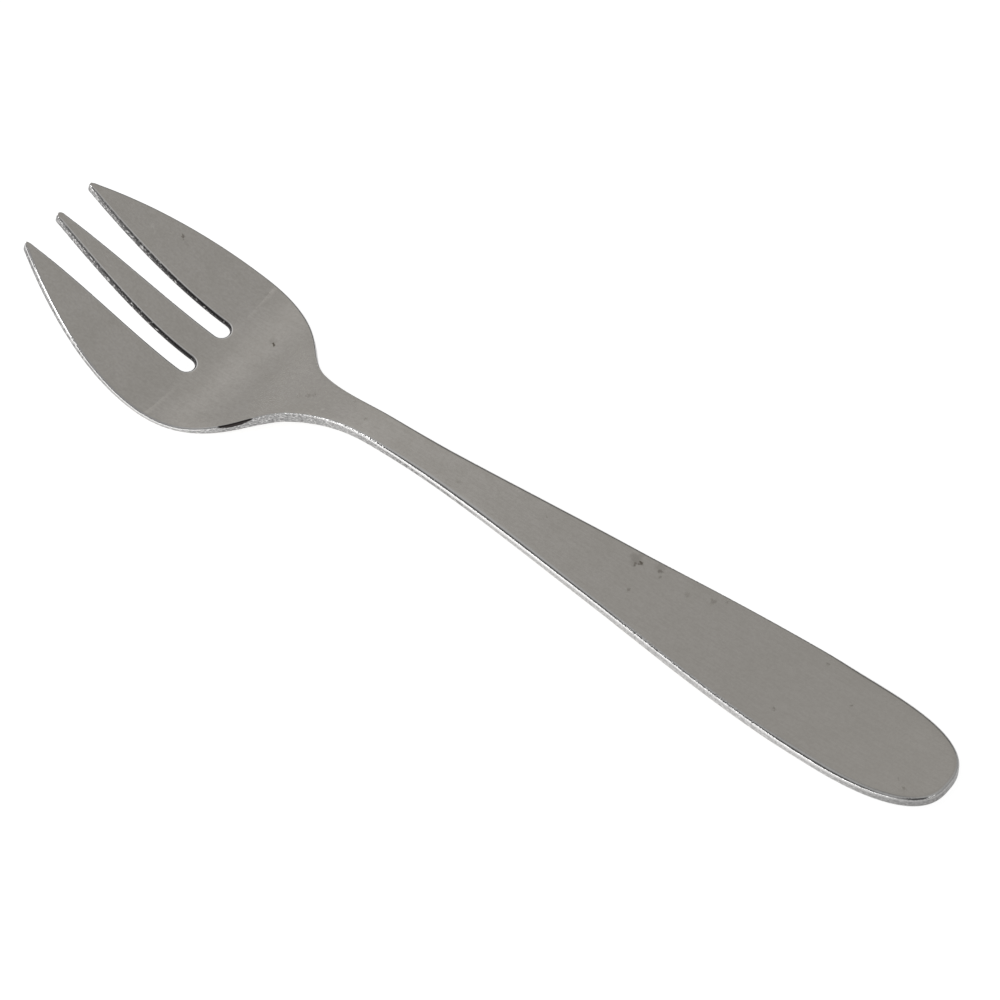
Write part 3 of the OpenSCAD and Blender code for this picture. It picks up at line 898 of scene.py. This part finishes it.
world = bpy.data.worlds.new("grey_studio")
scene.world = world
world.use_nodes = True
room = world.node_tree
looking = add_node(room, "ShaderNodeTexCoord").outputs["Generated"]
direction = add_node(room, "ShaderNodeSeparateXYZ", {0: looking})
grey = add_node(room, "ShaderNodeMapRange", interpolation_type="SMOOTHSTEP", inputs={
    "Value": direction.outputs["Z"], "From Min": 0.4, "From Max": 0.72, "To Min": 0.4, "To Max": 0.485})

# It falls off a little towards the right, as it does away from a window
fall_off = add_node(room, "ShaderNodeMapRange", interpolation_type="SMOOTHSTEP", inputs={
    "Value": direction.outputs["X"], "From Min": -0.45, "From Max": -0.15, "To Min": 1.19, "To Max": 0.965})
room_grey = add_node(room, "ShaderNodeMath", operation="MULTIPLY", inputs={
    0: grey.outputs["Result"], 1: fall_off.outputs["Result"]})

# Dark parts of the room: a band at the front left, over the low softbox, and patches low behind the fork, at
# the front right and overhead
front = add_node(room, "ShaderNodeMapRange", interpolation_type="SMOOTHSTEP", inputs={
    "Value": direction.outputs["Y"], "From Min": -0.3, "From Max": -0.5, "To Max": 0.85})
over_softbox = add_node(room, "ShaderNodeMapRange", interpolation_type="SMOOTHSTEP", inputs={
    "Value": direction.outputs["Z"], "From Min": 0.1, "From Max": 0.2})
under_top = add_node(room, "ShaderNodeMapRange", interpolation_type="SMOOTHSTEP", inputs={
    "Value": direction.outputs["Z"], "From Min": 0.8, "From Max": 0.5})
band = add_node(room, "ShaderNodeMath", operation="MULTIPLY", inputs={
    0: over_softbox.outputs["Result"], 1: under_top.outputs["Result"]})
front_band = add_node(room, "ShaderNodeMath", operation="MULTIPLY", inputs={
    0: band.outputs[0], 1: front.outputs["Result"]})
on_the_left = add_node(room, "ShaderNodeMapRange", interpolation_type="SMOOTHSTEP", inputs={
    "Value": direction.outputs["X"], "From Min": 0.15, "From Max": -0.1})
darkest = add_node(room, "ShaderNodeMath", operation="MULTIPLY", inputs={
    0: front_band.outputs[0], 1: on_the_left.outputs["Result"]}).outputs[0]
for towards, outer, inner, darkness in [
    ((-0.34, 0.93, 0.12), 0.84, 0.94, 0.75), ((0.66, -0.5, 0.56), 0.89, 0.96, 0.95),
    ((-0.02, -0.12, 0.99), 0.965, 0.99, 0.4),
]:
    beside = add_node(room, "ShaderNodeVectorMath", operation="DOT_PRODUCT", inputs={
        0: looking, 1: Vector(towards).normalized()})
    patch = add_node(room, "ShaderNodeMapRange", interpolation_type="SMOOTHSTEP", inputs={
        "Value": beside.outputs["Value"], "From Min": outer, "From Max": inner, "To Max": darkness})
    darkest = add_node(room, "ShaderNodeMath", operation="MAXIMUM", inputs={
        0: darkest, 1: patch.outputs["Result"]}).outputs[0]
light_left = add_node(room, "ShaderNodeMapRange", inputs={
    "Value": darkest, "To Min": 1.0, "To Max": 0.15})
shade = add_node(room, "ShaderNodeMath", operation="MULTIPLY", inputs={
    0: room_grey.outputs[0], 1: light_left.outputs["Result"]})
room.links.new(shade.outputs[0], room.nodes["Background"].inputs["Color"])


def softbox(name, towards, distance, width, height, radiance):
    """An area lamp seen from the fork in a direction, with a brightness in units of white paper."""
    lamp = bpy.data.lights.new(name, "AREA")
    lamp.shape = "RECTANGLE"
    lamp.size, lamp.size_y = width, height
    lamp.energy = radiance * math.pi * width * height
    box = bpy.data.objects.new(name, lamp)
    box.location = Vector(towards).normalized() * distance
    box.rotation_euler = (-box.location).to_track_quat("-Z", "Y").to_euler()
    scene.collection.objects.link(box)


# Each softbox: its direction from the fork, its distance, width and height in metres, and its brightness
softbox("softbox_tines", (-0.134, -0.144, 0.087), 0.215, 0.041, 0.052, 9.0)
softbox("softbox_low_front", (-0.3, -0.95, 0.05), 0.9, 1.4, 0.06, 4.0)
softbox("softbox_left", (-0.99, -0.11, 0.09), 0.9, 0.3, 0.25, 4.0)
softbox("softbox_right", (0.86, -0.15, 0.42), 0.9, 0.22, 0.07, 4.0)
softbox("softbox_back_left", (-0.93, 0.2, 0.12), 0.9, 0.5, 0.2, 4.0)

azimuth, elevation = math.radians(36.866), math.radians(51.237)
towards_camera = Vector((
    math.sin(azimuth) * math.cos(elevation), -math.cos(azimuth) * math.cos(elevation), math.sin(elevation)))
aim = Vector((-0.475, 3.536, 0)) * MM
camera_distance = 600 * MM
image_width = 1000
focal_length_in_pixels = 4628.05
camera_data = bpy.data.cameras.new("camera")
camera_data.sensor_width = 36
camera_data.lens = focal_length_in_pixels / image_width * camera_data.sensor_width
camera_data.clip_start, camera_data.clip_end = 0.05, 50
camera = bpy.data.objects.new("camera", camera_data)
camera.location = aim + towards_camera * camera_distance
camera.rotation_euler = (-towards_camera).to_track_quat("-Z", "Y").to_euler()
scene.collection.objects.link(camera)
scene.camera = camera
print(f"The camera has a {camera_data.lens:.1f} mm lens, {camera_distance:.2f} m away")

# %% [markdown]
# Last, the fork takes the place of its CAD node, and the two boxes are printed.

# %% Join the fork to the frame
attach(fork, "root")
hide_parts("fork")
floor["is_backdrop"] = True

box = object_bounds()
sizes = {"cad": [list(corner) for corner in cad_box], "visual": [list(corner) for corner in box]}
print("Boxes in mm:", {k: [[round(v * 1000, 2) for v in c] for c in b] for k, b in sizes.items()})
